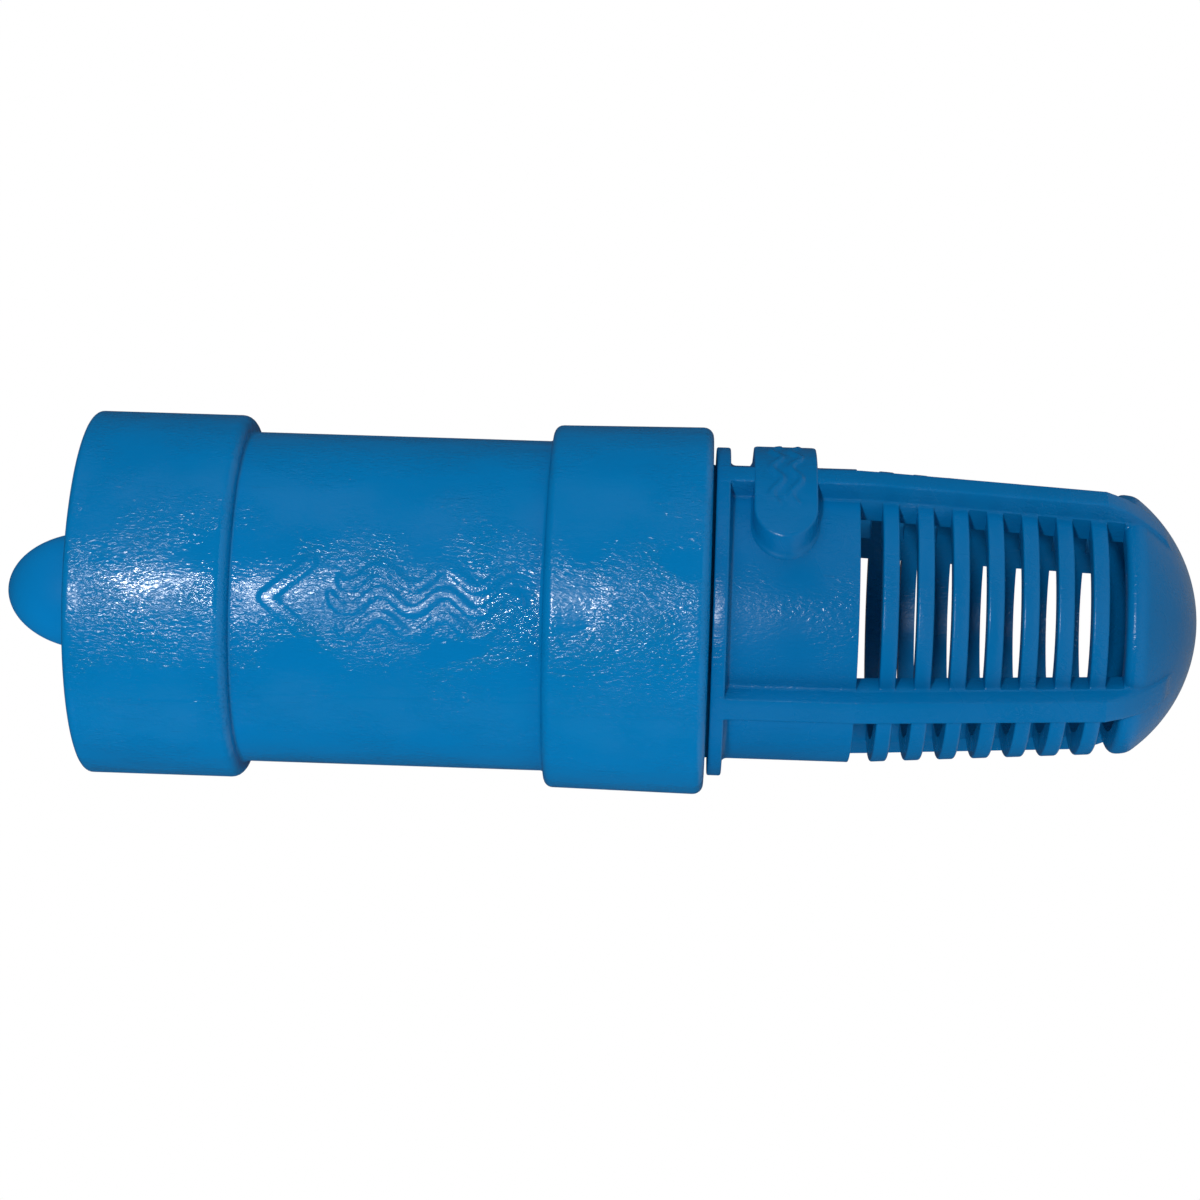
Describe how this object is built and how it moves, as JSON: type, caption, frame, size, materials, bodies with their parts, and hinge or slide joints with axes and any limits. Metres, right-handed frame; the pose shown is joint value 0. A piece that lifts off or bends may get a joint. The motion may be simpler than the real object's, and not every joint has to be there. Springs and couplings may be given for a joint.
{
  "type": "foot valve",
  "caption": "Moulded plastic foot valve with a spring-closed, bullet-nosed poppet and a screw-in, slotted, domed strainer, for the lower end of a pump's suction pipe.",
  "frame": {"origin": "centre of the outlet's mouth", "axes": "+Z along the valve's axis, out of the outlet and up the pipe; the strainer hangs towards -Z; +X through the rib that the strainer's raised pad crosses"},
  "size_m": [0.0536, 0.0536, 0.1736],
  "materials": {
    "body_plastic": "satin",
    "strainer_plastic": "satin",
    "poppet_plastic": "satin",
    "guide_plastic": "matte",
    "seat_plastic": "satin",
    "seal_rubber": "matte",
    "stainless_steel": "satin"
  },
  "bodies": {
    "housing": {"valve_body": "body_plastic", "stem_guide": "guide_plastic", "poppet_spring": "stainless_steel"},
    "poppet": {"poppet_stem": "poppet_plastic", "poppet_head": "poppet_plastic", "poppet_seal": "seal_rubber", "seal_retainer": "poppet_plastic", "retainer_washer": "stainless_steel", "retainer_screw": "stainless_steel"},
    "seat": {"valve_seat": "seat_plastic", "seat_o_ring": "seal_rubber"},
    "basket": {"strainer": "strainer_plastic"}
  },
  "joints": [
    {"name": "poppet_lift", "type": "slide", "parent": "housing", "child": "poppet", "axis": [0, 0, 1], "range_m": [0, 0.008], "stiffness_N_per_m": 150, "springref_m": -0.009, "deforming": ["poppet_spring"]},
    {"name": "strainer_withdraw", "type": "slide", "parent": "housing", "child": "seat", "axis": [0, 0, -1], "range_m": [0, 0.012]},
    {"name": "strainer_unscrew", "type": "hinge", "parent": "seat", "child": "basket", "pos_m": [0, 0, -0.077], "axis": [0, 0, -1], "range_deg": [0, 1440]}
  ],
  "couplings": [
    {"joint": "strainer_unscrew", "follows": "strainer_withdraw", "rad_per_m": 2094.4}
  ]
}
